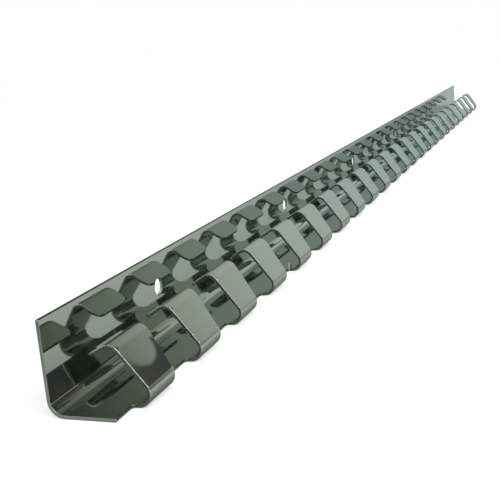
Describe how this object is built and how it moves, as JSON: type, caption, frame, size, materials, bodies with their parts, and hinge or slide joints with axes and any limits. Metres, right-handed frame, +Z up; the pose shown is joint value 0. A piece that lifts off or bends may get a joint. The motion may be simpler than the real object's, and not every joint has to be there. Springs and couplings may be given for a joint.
{
  "type": "strip curtain hook rail",
  "caption": "Bent stainless wall rail with a row of upward-opening hooks that carry the clamp plates of a PVC strip curtain.",
  "frame": {"origin": "middle of the rail's bounding box in X and Y, on the underside of its flat base", "axes": "+X along the rail, +Y out of the back of the wall that is screwed to the building, +Z up; the hooks are on the -Y side and open upwards"},
  "size_m": [0.984, 0.0303, 0.032],
  "materials": {
    "mounting_angle_steel": "bright polished stainless steel, mirror-like, with fine scratches",
    "hook_01_steel": "bright polished stainless steel, mirror-like, with fine scratches",
    "hook_02_steel": "bright polished stainless steel, mirror-like, with fine scratches",
    "hook_03_steel": "bright polished stainless steel, mirror-like, with fine scratches",
    "hook_04_steel": "bright polished stainless steel, mirror-like, with fine scratches",
    "hook_05_steel": "bright polished stainless steel, mirror-like, with fine scratches",
    "hook_06_steel": "bright polished stainless steel, mirror-like, with fine scratches",
    "hook_07_steel": "bright polished stainless steel, mirror-like, with fine scratches",
    "hook_08_steel": "bright polished stainless steel, mirror-like, with fine scratches",
    "hook_09_steel": "bright polished stainless steel, mirror-like, with fine scratches",
    "hook_10_steel": "bright polished stainless steel, mirror-like, with fine scratches",
    "hook_11_steel": "bright polished stainless steel, mirror-like, with fine scratches",
    "hook_12_steel": "bright polished stainless steel, mirror-like, with fine scratches",
    "hook_13_steel": "bright polished stainless steel, mirror-like, with fine scratches",
    "hook_14_steel": "bright polished stainless steel, mirror-like, with fine scratches",
    "hook_15_steel": "bright polished stainless steel, mirror-like, with fine scratches",
    "hook_16_steel": "bright polished stainless steel, mirror-like, with fine scratches",
    "hook_17_steel": "bright polished stainless steel, mirror-like, with fine scratches",
    "hook_18_steel": "bright polished stainless steel, mirror-like, with fine scratches",
    "hook_19_steel": "bright polished stainless steel, mirror-like, with fine scratches",
    "hook_20_steel": "bright polished stainless steel, mirror-like, with fine scratches",
    "hook_21_steel": "bright polished stainless steel, mirror-like, with fine scratches",
    "hook_22_steel": "bright polished stainless steel, mirror-like, with fine scratches",
    "hook_23_steel": "bright polished stainless steel, mirror-like, with fine scratches",
    "hook_24_steel": "bright polished stainless steel, mirror-like, with fine scratches"
  },
  "bodies": {
    "root": {"mounting_angle": "mounting_angle_steel", "hook_01": "hook_01_steel", "hook_02": "hook_02_steel", "hook_03": "hook_03_steel", "hook_04": "hook_04_steel", "hook_05": "hook_05_steel", "hook_06": "hook_06_steel", "hook_07": "hook_07_steel", "hook_08": "hook_08_steel", "hook_09": "hook_09_steel", "hook_10": "hook_10_steel", "hook_11": "hook_11_steel", "hook_12": "hook_12_steel", "hook_13": "hook_13_steel", "hook_14": "hook_14_steel", "hook_15": "hook_15_steel", "hook_16": "hook_16_steel", "hook_17": "hook_17_steel", "hook_18": "hook_18_steel", "hook_19": "hook_19_steel", "hook_20": "hook_20_steel", "hook_21": "hook_21_steel", "hook_22": "hook_22_steel", "hook_23": "hook_23_steel", "hook_24": "hook_24_steel"}
  },
  "joints": []
}
